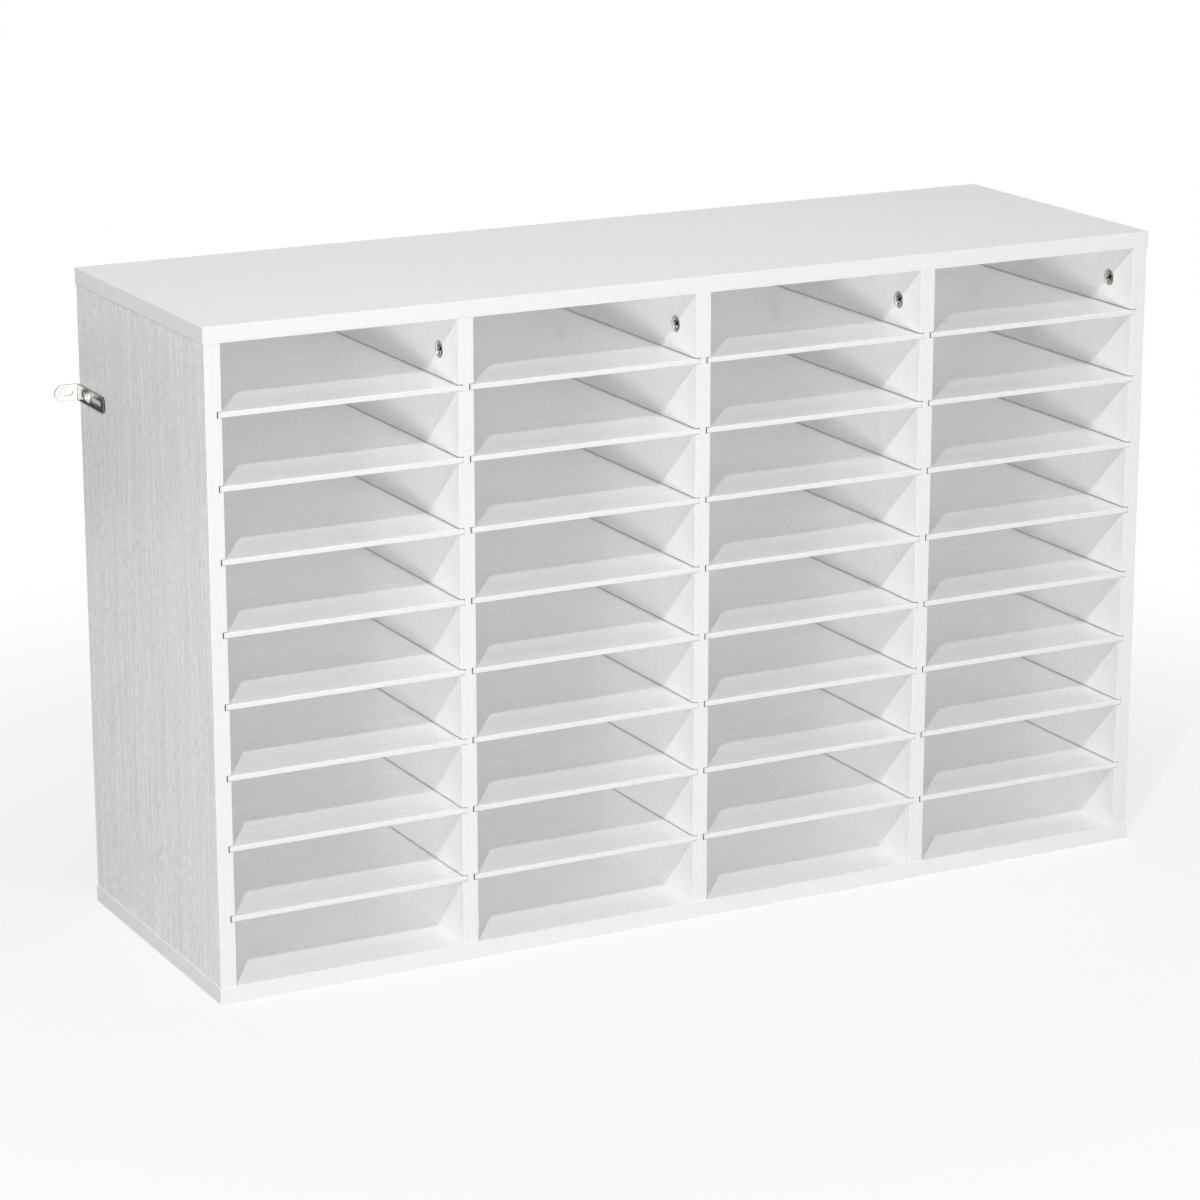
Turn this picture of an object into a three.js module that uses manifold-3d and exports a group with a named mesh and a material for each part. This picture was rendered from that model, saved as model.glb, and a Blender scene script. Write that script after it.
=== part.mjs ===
// Pigeonhole mail sorter: a low open cabinet whose columns are divided by thin shelves that slide
// in grooves. Millimetres, +Z up. The open front faces -Y and +X is to the right seen from there.
// The origin is the middle of the bottom board's underside.
import * as THREE from 'three';
import { mergeVertices } from 'three/addons/utils/BufferGeometryUtils.js';
import Module from 'manifold-3d';

// Case
const caseLength = 960; // top and bottom boards, left to right
const caseDepth = 302; // top and bottom boards, front to back
const caseHeight = 604;
const boardThickness = 15;
const columnCount = 4;
const rowCount = 9;
const sideOverhang = 1; // top and bottom boards past the outer faces of the sides
const frontReveal = 1; // uprights behind the front of the top and bottom boards
const edgeEase = 0.4; // bevel on the edges of the boards
const jointGap = 0.1; // between boards that meet

// Shelves and their grooves
const shelfThickness = 4.8;
const shelfEase = 0.5; // radius on the front edges of a shelf
const grooveDepth = 4.5;
const grooveHeadroom = 0.7; // over a shelf
const shelfSeatGap = 0.1; // under a shelf
const shelfEndPlay = 0.9; // at each end of a shelf that lies in the middle of its grooves
const shelfDrift = 0.4; // how far the shelves have settled to the right
const shelfSetback = 0.4; // front of a shelf behind the front of the uprights
const shelfStopGap = 0.6; // rear of a shelf before the back panel

// Back panel, held in grooves in the sides, the top and the bottom
const panelThickness = 3;
const panelGrooveDepth = 5;
const panelPlay = 0.2; // on each face of the panel
const panelEdgePlay = 0.5; // at each edge of the panel
const panelInset = 16.5; // from the groove to the rear of the case

// Cam locks: a cam in an upright draws down a bolt that is screwed into the top board
const camDiameter = 15;
const camBackWall = 2.2; // board left behind a cam
const camSink = 0.2; // rim of a cam below the face of its board
const camRimWidth = 1.1;
const camDish = 0.6; // face of a cam below its rim
const camDrop = 34; // from the top of an upright to the middle of its cams
const camSetback = 38; // from the front and rear edges of a side to the middle of the cams
const boltDiameter = 6;
const boltReach = 11; // into the top board
const fitGap = 0.3; // round a cam, bolt or screw in its bore

// Cross recess for a driver, in the cams and in the bracket screws
const camCrossLength = 6;
const camCrossWidth = 1.8;
const camCrossDepth = 2.2;
const screwCrossLength = 4.6;
const screwCrossWidth = 1.2;
const screwCrossDepth = 1.7;
const crossTurn = Math.PI / 5;

// Countersunk holes for the screws that hold the bottom board to the uprights
const baseHoleDiameter = 5;
const baseSinkDiameter = 10;
const basePilotDiameter = 4;
const basePilotDepth = 40;
const baseHoleSetback = 50; // from the front and rear edges of a side

// Wall brackets: folded steel strip, with a long slot on the side and a short slot to the wall
const bracketThickness = 1.8;
const bracketHeight = 15;
const bracketDrop = 115; // from the top of the case to the middle of a bracket
const bendRadius = 1; // inside the fold
const sideLegLength = 68;
const sideLegCut = 3; // corners cut off the end of the leg
const sideSlotLength = 48;
const sideSlotMargin = 7; // from the end of the leg to its slot
const wallLegLength = 23;
const wallLegCut = 5;
const wallSlotLength = 10.5;
const wallSlotMargin = 6.5;
const slotWidth = 5;
const wallStandoff = 4; // wall behind the rear of the case

// Screws that clamp the brackets to the sides
const screwDiameter = 4;
const screwHeadDiameter = 8.6;
const screwHeadHeight = 2.8;
const screwBackWall = 1; // board left between a screw and the bottom of the shelf grooves
const screwSetback = 27; // from the rear of the side

// Fineness of round forms
const roundSteps = 16;
const arcSteps = 4;
const easeSteps = 2;
const cutOver = 1; // how far a cutting solid stands clear of what it cuts

const wasm = await Module();
wasm.setup();

const laminate = new THREE.MeshStandardMaterial({ color: '#f3f3f2', roughness: 0.5, metalness: 0 });
const shelfLaminate = new THREE.MeshStandardMaterial({ color: '#f0f0f0', roughness: 0.45, metalness: 0 });
const panelFoil = new THREE.MeshStandardMaterial({ color: '#ececea', roughness: 0.6, metalness: 0 });
const nickel = new THREE.MeshStandardMaterial({ color: '#b9b2a6', roughness: 0.35, metalness: 1 });
const zincedSteel = new THREE.MeshStandardMaterial({ color: '#c9c5bd', roughness: 0.3, metalness: 1 });

// Front to back
const caseFront = -caseDepth / 2;
const caseRear = caseDepth / 2;
const uprightFront = caseFront + frontReveal;
const panelGrooveRear = caseRear - panelInset;
const panelRear = panelGrooveRear - panelPlay;
const panelFront = panelRear - panelThickness;
const panelGrooveFront = panelFront - panelPlay;
const dividerRear = panelFront - jointGap;
const shelfFront = uprightFront + shelfSetback;
const shelfRear = panelFront - shelfStopGap;
const camPlaces = [uprightFront + camSetback, caseRear - camSetback];
const baseHolePlaces = [uprightFront + baseHoleSetback, caseRear - baseHoleSetback];

// Bottom to top
const floorTop = boardThickness;
const roofUnder = caseHeight - boardThickness;
const uprightBottom = floorTop + jointGap;
const uprightTop = roofUnder - jointGap;
const camLevel = uprightTop - camDrop;
const bracketLevel = caseHeight - bracketDrop;
const shelfCount = rowCount - 1;
const rowHeight = (roofUnder - floorTop - shelfCount * shelfThickness) / rowCount;
const shelfUnder = (row) => roofUnder - row * (rowHeight + shelfThickness);

// Left to right
const sideFace = caseLength / 2 - sideOverhang; // outer face of a side, from the middle
const columnWidth = (2 * sideFace - (columnCount + 1) * boardThickness) / columnCount;
const columnPitch = columnWidth + boardThickness;
const uprightMiddle = (index) => boardThickness / 2 - sideFace + index * columnPitch;
const columnMiddle = (column) => (uprightMiddle(column - 1) + uprightMiddle(column)) / 2;
const panelEdge = sideFace - boardThickness + panelGrooveDepth - panelEdgePlay;

// Depths that go with the boards
const camBoreDepth = boardThickness - camBackWall;
const camDepth = camBoreDepth - camSink - fitGap;
const pilotDepth = boardThickness - grooveDepth - screwBackWall;
const screwReach = pilotDepth - fitGap;

// A closed geometry as a solid that can be cut and joined.
function solidOf(geometry) {
  geometry.deleteAttribute('normal');
  geometry.deleteAttribute('uv');
  const merged = mergeVertices(geometry);
  const corners = merged.index.array;
  const triangles = [];
  for (let at = 0; at < corners.length; at += 3) {
    const [a, b, c] = corners.slice(at, at + 3);
    if (a !== b && b !== c && c !== a) triangles.push(a, b, c);
  }
  const vertProperties = merged.attributes.position.array;
  const triVerts = Uint32Array.from(triangles);
  return new wasm.Manifold(new wasm.Mesh({ numProp: 3, vertProperties, triVerts }));
}

// A solid as a named mesh.
function meshOf(name, solid, material) {
  const { vertProperties, triVerts } = solid.getMesh();
  const geometry = new THREE.BufferGeometry();
  geometry.setAttribute('position', new THREE.BufferAttribute(vertProperties, 3));
  geometry.setIndex(new THREE.BufferAttribute(triVerts, 1));
  geometry.computeVertexNormals();
  const mesh = new THREE.Mesh(geometry, material);
  mesh.name = name;
  return mesh;
}

// A block between its lowest and highest corners.
function block(low, high) {
  const [width, depth, height] = high.map((value, axis) => value - low[axis]);
  const [x, y, z] = high.map((value, axis) => (value + low[axis]) / 2);
  return solidOf(new THREE.BoxGeometry(width, depth, height).translate(x, y, z));
}

// A rod along X from its start, and a rod up Z from its start.
function rodAcross(diameter, length, [x, y, z]) {
  const rod = new THREE.CylinderGeometry(diameter / 2, diameter / 2, length, roundSteps);
  return solidOf(rod.rotateZ(-Math.PI / 2).translate(x + length / 2, y, z));
}

function rodUp(diameter, length, [x, y, z]) {
  const rod = new THREE.CylinderGeometry(diameter / 2, diameter / 2, length, roundSteps);
  return solidOf(rod.rotateX(Math.PI / 2).translate(x, y, z + length / 2));
}

// An outline seen from the front, carried from one depth to another, with its end edges bevelled.
function carriedBack(outline, front, rear, ease) {
  const settings = {
    depth: rear - front - 2 * ease,
    bevelEnabled: ease > 0,
    bevelThickness: ease,
    bevelSize: ease,
    bevelOffset: -ease,
    bevelSegments: 1,
    curveSegments: arcSteps,
  };
  return new THREE.ExtrudeGeometry(outline, settings).rotateX(Math.PI / 2).translate(0, rear - ease, 0);
}

// A form turned about an axis along X, from points of radius and distance along the axis.
function turned(profile) {
  const points = profile.map(([radius, along]) => new THREE.Vector2(radius, along));
  return solidOf(new THREE.LatheGeometry(points, roundSteps).rotateZ(-Math.PI / 2));
}

// The cross recess: two blades at right angles that reach a depth along X.
function crossCutter(start, depth, length, width) {
  const blade = (turn) => {
    const bar = new THREE.BoxGeometry(depth + cutOver, length, width);
    return solidOf(bar.translate(start + (depth - cutOver) / 2, 0, 0).rotateX(turn));
  };
  return blade(crossTurn).add(blade(crossTurn + Math.PI / 2));
}

// Top and bottom boards: a plain board whose long edges are eased, standing on the given level.
function capBoard(level) {
  const outline = new THREE.Shape();
  outline.moveTo(-caseLength / 2, level);
  outline.lineTo(caseLength / 2, level);
  outline.lineTo(caseLength / 2, level + boardThickness);
  outline.lineTo(-caseLength / 2, level + boardThickness);
  return solidOf(carriedBack(outline, caseFront, caseRear, edgeEase));
}

// The groove for the back panel across a board, from one level to another.
function panelGroove(low, high) {
  const end = panelEdge + panelEdgePlay;
  return block([-end, panelGrooveFront, low], [end, panelGrooveRear, high]);
}

function topBoard() {
  let board = capBoard(roofUnder).subtract(
    panelGroove(roofUnder - cutOver, roofUnder + panelGrooveDepth)
  );
  const bore = boltDiameter + 2 * fitGap;
  for (let index = 0; index <= columnCount; index += 1) {
    for (const y of camPlaces) {
      const depth = boltReach + fitGap + cutOver;
      board = board.subtract(rodUp(bore, depth, [uprightMiddle(index), y, roofUnder - cutOver]));
    }
  }
  return board;
}

// The countersunk hole through the bottom board, about a vertical axis.
function countersink(x, y) {
  const hole = baseHoleDiameter / 2;
  const sink = baseSinkDiameter / 2;
  const points = [
    new THREE.Vector2(0, -cutOver),
    new THREE.Vector2(sink, -cutOver),
    new THREE.Vector2(sink, 0),
    new THREE.Vector2(hole, sink - hole),
    new THREE.Vector2(hole, boardThickness + cutOver),
    new THREE.Vector2(0, boardThickness + cutOver),
  ];
  return solidOf(new THREE.LatheGeometry(points, roundSteps).rotateX(Math.PI / 2).translate(x, y, 0));
}

function bottomBoard() {
  let board = capBoard(0).subtract(panelGroove(floorTop - panelGrooveDepth, floorTop + cutOver));
  for (let index = 0; index <= columnCount; index += 1) {
    for (const y of baseHolePlaces) board = board.subtract(countersink(uprightMiddle(index), y));
  }
  return board;
}

// Outline of an upright from the front, about its own middle, with a groove for every shelf on
// the faces that look into a column.
function uprightOutline(groovedLeft, groovedRight) {
  const face = boardThickness / 2;
  const outline = new THREE.Shape();
  const notch = (side, from, to) => {
    outline.lineTo(side * face, from);
    outline.lineTo(side * (face - grooveDepth), from);
    outline.lineTo(side * (face - grooveDepth), to);
    outline.lineTo(side * face, to);
  };
  const grooveFloor = (row) => shelfUnder(row) - shelfSeatGap;
  const grooveRoof = (row) => shelfUnder(row) + shelfThickness + grooveHeadroom;
  outline.moveTo(-face, uprightBottom);
  outline.lineTo(face, uprightBottom);
  for (let row = shelfCount; row >= 1 && groovedRight; row -= 1) {
    notch(1, grooveFloor(row), grooveRoof(row));
  }
  outline.lineTo(face, uprightTop);
  outline.lineTo(-face, uprightTop);
  for (let row = 1; row <= shelfCount && groovedLeft; row += 1) {
    notch(-1, grooveRoof(row), grooveFloor(row));
  }
  return outline;
}

// The bores that every upright has: cams and their bolts at the top, screw pilots at the bottom.
// The cams go in from the left face, or on the left side from its right, inner face.
function boredUpright(outline, rear, camsFromRight) {
  const face = boardThickness / 2;
  const camBore = camDiameter + 2 * fitGap;
  const boltBore = boltDiameter + 2 * fitGap;
  const camStart = camsFromRight ? face - camBoreDepth : -face - cutOver;
  let upright = solidOf(carriedBack(outline, uprightFront, rear, edgeEase));
  for (const y of camPlaces) {
    upright = upright.subtract(rodAcross(camBore, camBoreDepth + cutOver, [camStart, y, camLevel]));
    upright = upright.subtract(rodUp(boltBore, camDrop + cutOver, [0, y, camLevel]));
  }
  for (const y of baseHolePlaces) {
    const start = [0, y, uprightBottom - cutOver];
    upright = upright.subtract(rodUp(basePilotDiameter, basePilotDepth + cutOver, start));
  }
  return upright;
}

// A side is an upright with the groove for the back panel inside and a screw pilot outside.
// Its facing is 1 where its inner face looks right and -1 where it looks left.
function sidePanel(facing) {
  const face = boardThickness / 2;
  const outline = uprightOutline(facing < 0, facing > 0);
  const grooveEnds = [facing * (face - panelGrooveDepth), facing * (face + cutOver)];
  const groove = block(
    [Math.min(...grooveEnds), panelGrooveFront, uprightBottom - cutOver],
    [Math.max(...grooveEnds), panelGrooveRear, uprightTop + cutOver]
  );
  const pilotStart = facing > 0 ? -face - cutOver : face - pilotDepth;
  const pilotPlace = [pilotStart, caseRear - screwSetback, bracketLevel];
  const pilot = rodAcross(screwDiameter + 2 * fitGap, pilotDepth + cutOver, pilotPlace);
  return boredUpright(outline, caseRear, facing > 0).subtract(groove).subtract(pilot);
}

function divider() {
  return boredUpright(uprightOutline(true, true), dividerRear, false);
}

function backPanel() {
  const low = floorTop - panelGrooveDepth + panelEdgePlay;
  const high = roofUnder + panelGrooveDepth - panelEdgePlay;
  return block([-panelEdge, panelFront, low], [panelEdge, panelRear, high]);
}

// A shelf about the middle of its underside: the outline from the side has a rounded front edge.
function shelf() {
  const length = columnWidth + 2 * (grooveDepth - shelfEndPlay);
  const top = shelfThickness;
  const outline = new THREE.Shape();
  outline.moveTo(shelfRear, 0);
  outline.lineTo(shelfRear, top);
  outline.lineTo(shelfFront + shelfEase, top);
  outline.absarc(shelfFront + shelfEase, top - shelfEase, shelfEase, Math.PI / 2, Math.PI, false);
  outline.absarc(shelfFront + shelfEase, shelfEase, shelfEase, Math.PI, 1.5 * Math.PI, false);
  const settings = { depth: length, bevelEnabled: false, curveSegments: easeSteps };
  const board = new THREE.ExtrudeGeometry(outline, settings);
  return solidOf(board.rotateX(Math.PI / 2).rotateZ(Math.PI / 2).translate(-length / 2, 0, 0));
}

// A cam lock: the cam, turned about X with its rim at the mouth of the bore, and the bolt that
// stands up from it through the top edge of the upright.
function camLock() {
  const rim = camDiameter / 2;
  const dish = rim - camRimWidth;
  const cam = turned([
    [0, camSink + camDish],
    [dish, camSink + camDish],
    [dish, camSink],
    [rim, camSink],
    [rim, camSink + camDepth],
    [0, camSink + camDepth],
  ]);
  const bolt = rodUp(boltDiameter, camDrop + jointGap + boltReach, [boardThickness / 2, 0, 0]);
  const cross = crossCutter(camSink + camDish, camCrossDepth, camCrossLength, camCrossWidth);
  return cam.subtract(cross).add(bolt);
}

// The face of a bracket leg from its fold to its far end: a strip with its end corners cut off
// and a round-ended slot, drawn large enough to trim the folded strip.
function legFace(length, cut, slotLength, slotMargin) {
  const half = bracketHeight / 2;
  const face = new THREE.Shape();
  face.moveTo(-cutOver, -half - cutOver);
  face.lineTo(length - cut - cutOver, -half - cutOver);
  face.lineTo(length + cutOver, cut + cutOver - half);
  face.lineTo(length + cutOver, half - cut - cutOver);
  face.lineTo(length - cut - cutOver, half + cutOver);
  face.lineTo(-cutOver, half + cutOver);
  const slot = new THREE.Path();
  const slotEnd = length - slotMargin - slotWidth / 2;
  const slotStart = length - slotMargin - slotLength + slotWidth / 2;
  slot.absarc(slotEnd, 0, slotWidth / 2, -Math.PI / 2, Math.PI / 2, false);
  slot.absarc(slotStart, 0, slotWidth / 2, Math.PI / 2, 1.5 * Math.PI, false);
  face.holes.push(slot);
  return face;
}

// A bracket about the corner of the wall and the side, with its wall leg along +X and its side
// leg along -Y: the folded strip from above, trimmed by the faces of its two legs.
function bracket() {
  const fold = bendRadius + bracketThickness;
  const strip = new THREE.Shape();
  strip.moveTo(0, -sideLegLength);
  strip.lineTo(0, -fold);
  strip.absarc(fold, -fold, fold, Math.PI, Math.PI / 2, true);
  strip.lineTo(wallLegLength, 0);
  strip.lineTo(wallLegLength, -bracketThickness);
  strip.lineTo(fold, -bracketThickness);
  strip.absarc(fold, -fold, bendRadius, Math.PI / 2, Math.PI, false);
  strip.lineTo(bracketThickness, -sideLegLength);
  const plain = { bevelEnabled: false, curveSegments: arcSteps };
  const folded = new THREE.ExtrudeGeometry(strip, { ...plain, depth: bracketHeight });
  folded.translate(0, 0, -bracketHeight / 2);
  const wallFace = legFace(wallLegLength, wallLegCut, wallSlotLength, wallSlotMargin);
  const wallTrim = carriedBack(wallFace, -sideLegLength - cutOver, cutOver, 0);
  const sideFaceOutline = legFace(sideLegLength, sideLegCut, sideSlotLength, sideSlotMargin);
  const sideTrim = carriedBack(sideFaceOutline, -wallLegLength - cutOver, cutOver, 0);
  sideTrim.rotateZ(-Math.PI / 2).translate(wallLegLength, 0, 0);
  return solidOf(folded).intersect(solidOf(wallTrim)).intersect(solidOf(sideTrim));
}

// A round-headed screw along X, from the plane under its head, with a cross recess.
function bracketScrew() {
  const head = screwHeadDiameter / 2;
  const shank = screwDiameter / 2;
  const tip = bracketThickness + 2 * jointGap + screwReach;
  const dome = [];
  for (let step = 0; step <= arcSteps; step += 1) {
    const angle = (step / arcSteps) * (Math.PI / 2);
    dome.push([head * Math.sin(angle), -screwHeadHeight * Math.cos(angle)]);
  }
  const screw = turned([...dome, [shank, 0], [shank, tip - shank], [0, tip]]);
  const cross = crossCutter(-screwHeadHeight, screwCrossDepth, screwCrossLength, screwCrossWidth);
  return screw.subtract(cross);
}

// The case
const sorter = new THREE.Group();
sorter.add(meshOf('top_board', topBoard(), laminate));
sorter.add(meshOf('bottom_board', bottomBoard(), laminate));
sorter.add(meshOf('back_panel', backPanel(), panelFoil));

for (let index = 0; index <= columnCount; index += 1) {
  const upright = new THREE.Group();
  upright.position.x = uprightMiddle(index);
  const isLeft = index === 0;
  const isRight = index === columnCount;
  const name = isLeft ? 'left_side' : isRight ? 'right_side' : `divider_${index}`;
  const solid = isLeft ? sidePanel(1) : isRight ? sidePanel(-1) : divider();
  upright.add(meshOf(name, solid, laminate));
  for (const [place, y] of camPlaces.entries()) {
    const lock = meshOf(`cam_lock_${name}_${place === 0 ? 'front' : 'rear'}`, camLock(), nickel);
    lock.position.set((isLeft ? 1 : -1) * (boardThickness / 2), y, camLevel);
    lock.rotation.z = isLeft ? Math.PI : 0;
    upright.add(lock);
  }
  sorter.add(upright);
}

// The shelves, counted from the left and from the top
for (let column = 1; column <= columnCount; column += 1) {
  for (let row = 1; row <= shelfCount; row += 1) {
    const board = meshOf(`shelf_c${column}_r${row}`, shelf(), shelfLaminate);
    board.position.set(columnMiddle(column) + shelfDrift, 0, shelfUnder(row));
    sorter.add(board);
  }
}

// The wall brackets and their screws, one on each side
for (const [name, direction] of [['left', -1], ['right', 1]]) {
  const strip = meshOf(`wall_bracket_${name}`, bracket(), zincedSteel);
  strip.position.set(direction * (sideFace + jointGap), caseRear + wallStandoff, bracketLevel);
  strip.rotation.y = direction < 0 ? Math.PI : 0;
  const screw = meshOf(`bracket_screw_${name}`, bracketScrew(), zincedSteel);
  const headPlane = sideFace + bracketThickness + 2 * jointGap;
  screw.position.set(direction * headPlane, caseRear - screwSetback, bracketLevel);
  screw.rotation.z = direction < 0 ? 0 : Math.PI;
  sorter.add(strip, screw);
}

export default sorter;
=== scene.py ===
# %% [markdown]
# # A pigeonhole mail sorter
#
# The object is a low open cabinet of white laminated board. Five uprights make four columns, and
# thin loose shelves in sawn grooves divide each column into nine pigeonholes. The CAD model already
# holds every piece at its true size and place, so this lesson only dresses it: each bare solid is
# replaced by a finer surface, made with numpy, and gets a finish with the grain or wear of the real
# material. Loading the frame first lets every later size be read from it instead of typed again.

# %% Load the frame
import math

import bmesh
import bpy
import numpy as np
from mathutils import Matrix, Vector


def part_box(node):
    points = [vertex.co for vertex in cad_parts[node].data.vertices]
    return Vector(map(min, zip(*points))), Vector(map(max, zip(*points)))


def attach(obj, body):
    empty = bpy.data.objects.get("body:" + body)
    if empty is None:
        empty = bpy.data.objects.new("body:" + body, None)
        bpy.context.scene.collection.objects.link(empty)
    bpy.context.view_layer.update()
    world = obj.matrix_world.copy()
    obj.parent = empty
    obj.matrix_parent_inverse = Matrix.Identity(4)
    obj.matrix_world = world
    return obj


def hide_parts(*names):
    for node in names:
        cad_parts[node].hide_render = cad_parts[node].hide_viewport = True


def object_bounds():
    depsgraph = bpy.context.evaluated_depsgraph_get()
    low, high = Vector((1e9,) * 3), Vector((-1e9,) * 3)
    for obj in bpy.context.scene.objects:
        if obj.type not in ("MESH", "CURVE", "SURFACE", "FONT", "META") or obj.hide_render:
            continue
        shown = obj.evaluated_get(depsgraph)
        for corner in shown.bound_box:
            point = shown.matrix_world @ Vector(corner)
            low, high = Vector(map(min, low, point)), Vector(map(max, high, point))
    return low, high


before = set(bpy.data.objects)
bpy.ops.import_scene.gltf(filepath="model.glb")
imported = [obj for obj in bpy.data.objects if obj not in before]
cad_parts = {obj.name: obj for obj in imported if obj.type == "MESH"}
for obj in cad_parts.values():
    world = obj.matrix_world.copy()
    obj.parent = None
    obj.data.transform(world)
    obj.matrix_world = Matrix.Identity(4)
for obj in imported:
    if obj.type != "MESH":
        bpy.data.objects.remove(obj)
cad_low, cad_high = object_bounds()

MM = 0.001  # Blender works in metres, a joiner in millimetres
bpy.context.scene.view_settings.view_transform = "Standard"


def corners_of(node):
    """Lowest and highest corner of a CAD node, as two arrays in metres."""
    low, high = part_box(node)
    return np.array(low), np.array(high)


shelf_names = sorted(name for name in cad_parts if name.startswith("shelf_"))
upright_names = sorted(
    (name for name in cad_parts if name.startswith("divider_") or name.endswith("_side")),
    key=lambda name: corners_of(name)[0][0],
)
print("case", [round(side / MM, 1) for side in cad_high - cad_low], "mm")
print(len(upright_names), "uprights and", len(shelf_names), "shelves")

# %% [markdown]
# ## The camera
#
# The photograph was taken from the front left and from above, through a long lens. Its viewpoint was
# worked out by matching seven corners of the case. The photographer kept the upright edges parallel
# with a shifted lens. Here the camera stands at the same viewpoint and looks down at the case
# instead, which keeps views from other sides centred, so the upright edges converge a little.
# Blender wants the lens in millimetres on a sensor, which is the same ratio as pixels on a picture.

# %% Place the camera
PHOTO_SIDE = 1200  # pixels, on both sides of the photograph
LENS_PIXELS = 3936.2
SENSOR_WIDTH = 36.0  # millimetres
CAMERA_PLACE = (-1.6882, -3.1549, 1.2694)
CAMERA_TURN = math.radians(27.79)  # to the right of straight ahead
CAMERA_DIP = math.radians(15.633)  # below the horizon

lens = bpy.data.cameras.new("photo_camera")
lens.sensor_width = SENSOR_WIDTH
lens.lens = SENSOR_WIDTH * LENS_PIXELS / PHOTO_SIDE
camera = bpy.data.objects.new("photo_camera", lens)
camera.location = CAMERA_PLACE
camera.rotation_euler = (math.pi / 2 - CAMERA_DIP, 0, -CAMERA_TURN)
bpy.context.scene.collection.objects.link(camera)
bpy.context.scene.camera = camera
print("lens", round(lens.lens, 1), "mm")

# %% [markdown]
# ## Writing a finish as a sum
#
# A procedural finish is a small calculation made at every point of a surface. Blender draws it as
# boxes and wires, which are slow to write one by one. Here a socket is wrapped in a class that knows
# plus, minus and times, so that `1 - pores` adds the right Math node by itself. Everything
# that isn't a sum comes from one method, `node`.


# %% A socket that can be added and multiplied
class Value:
    """A number at every point of a surface. Each operator adds one Math node and wraps its result."""

    def __init__(self, recipe, socket):
        self.recipe, self.socket = recipe, socket

    def math(self, operation, *terms):
        return self.recipe.node("Math", {"operation": operation}, dict(enumerate(terms)))

    def __add__(self, other):
        return self.math("ADD", self, other)

    def __sub__(self, other):
        return self.math("SUBTRACT", self, other)

    def __rsub__(self, other):
        return self.math("SUBTRACT", other, self)

    def __mul__(self, other):
        return self.math("MULTIPLY", self, other)

    __radd__ = __add__
    __rmul__ = __mul__


print("operators:", [name for name in vars(Value) if name.startswith("__r")])


# %% A recipe: one node tree, and the few nodes that finishes are made of
class Recipe:
    """The node tree of a material or of the world, being written out."""

    def __init__(self, owner):
        owner.use_nodes = True
        self.owner, self.tree = owner, owner.node_tree
        self.tree.nodes.clear()

    def node(self, kind, settings=None, inputs=None, output=0):
        """Adds a node, makes its settings, fills its sockets by name or number, and wraps an output."""
        made = self.tree.nodes.new("ShaderNode" + kind)
        for setting, value in (settings or {}).items():
            setattr(made, setting, value)
        for socket, value in (inputs or {}).items():
            if isinstance(value, Value):
                self.tree.links.new(value.socket, made.inputs[socket])
            else:
                made.inputs[socket].default_value = value
        return Value(self, made.outputs[output]) if made.outputs else None

    def place(self):
        """The point itself, in the piece's own metres."""
        return self.node("TexCoord", output="Object")

    def stretched(self, place, scales):
        """A place multiplied by a scale along each axis: a small scale draws a pattern out long."""
        return self.node("VectorMath", {"operation": "MULTIPLY"}, {0: place, 1: scales})

    def swayed(self, place, scale, sway):
        """A place pushed about by a slow noise, so that straight lines wander by about the sway."""
        drift = self.node("TexNoise", {}, {"Vector": place, "Scale": scale, "Detail": 1.0}, "Color")
        push = {0: drift, 1: (sway,) * 3, 2: place}
        return self.node("VectorMath", {"operation": "MULTIPLY_ADD"}, push)

    def noise(self, place, scale=1.0, detail=3.0, roughness=0.5):
        """Cloudy noise about one half."""
        inputs = {"Vector": place, "Scale": scale, "Detail": detail, "Roughness": roughness}
        return self.node("TexNoise", {}, inputs)

    def step(self, value, low, high):
        """0 below low, 1 above high, and a smooth rise between them."""
        inputs = {"Value": value, "From Min": low, "From Max": high}
        return self.node("MapRange", {"interpolation_type": "SMOOTHSTEP"}, inputs)

    def mixed(self, share, first, second):
        """The first colour where the share is 0 and the second where it is 1."""
        return self.node("Mix", {"data_type": "RGBA"}, {0: share, 6: first, 7: second}, 2)

    def relief(self, height, depth):
        """A bump that moves the surface's normal as if height, from 0 to 1, were that many metres."""
        return self.node("Bump", {}, {"Height": height, "Distance": depth, "Strength": 1.0})

    def surface(self, sockets):
        """Ends the recipe in a Principled surface, with numbers set and values linked."""
        self.node("OutputMaterial", {}, {"Surface": self.node("BsdfPrincipled", {}, sockets)})
        return self.owner


def new_recipe(name):
    return Recipe(bpy.data.materials.new(name))


print("a recipe offers", [name for name in vars(Recipe) if not name.startswith("_")])

# %% [markdown]
# ## White laminate
#
# The boards are covered with a white paper, printed and pressed with a fine wood grain. It is not
# one flat white: fibres a millimetre wide and several centimetres long, broader bands, and short
# darker pores all run along the board. A picture of wood would repeat and blur close up. Noise that
# is squeezed across the grain and drawn out along it gives the same look at any distance, and one
# recipe serves uprights, boards and shelves by turning the grain.

# %% The laminate recipe
GRAIN_ALONG_X, GRAIN_ALONG_Z = 0, 2
FIBRES_PER_METRE, FIBRE_STRETCH = 800.0, 90.0  # a stretch is how many times longer than wide
TICKS_PER_METRE, TICK_STRETCH = 600.0, 5.0
BANDS_PER_METRE, BAND_STRETCH = 150.0, 40.0
GRAIN_SWAY = 1.5 * MM
SWAYS_PER_METRE = 12.0


def along_grain(per_metre, stretch, axis):
    """Scales of a pattern that is drawn out along one axis."""
    scales = [per_metre] * 3
    scales[axis] = per_metre / stretch
    return tuple(scales)


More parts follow.
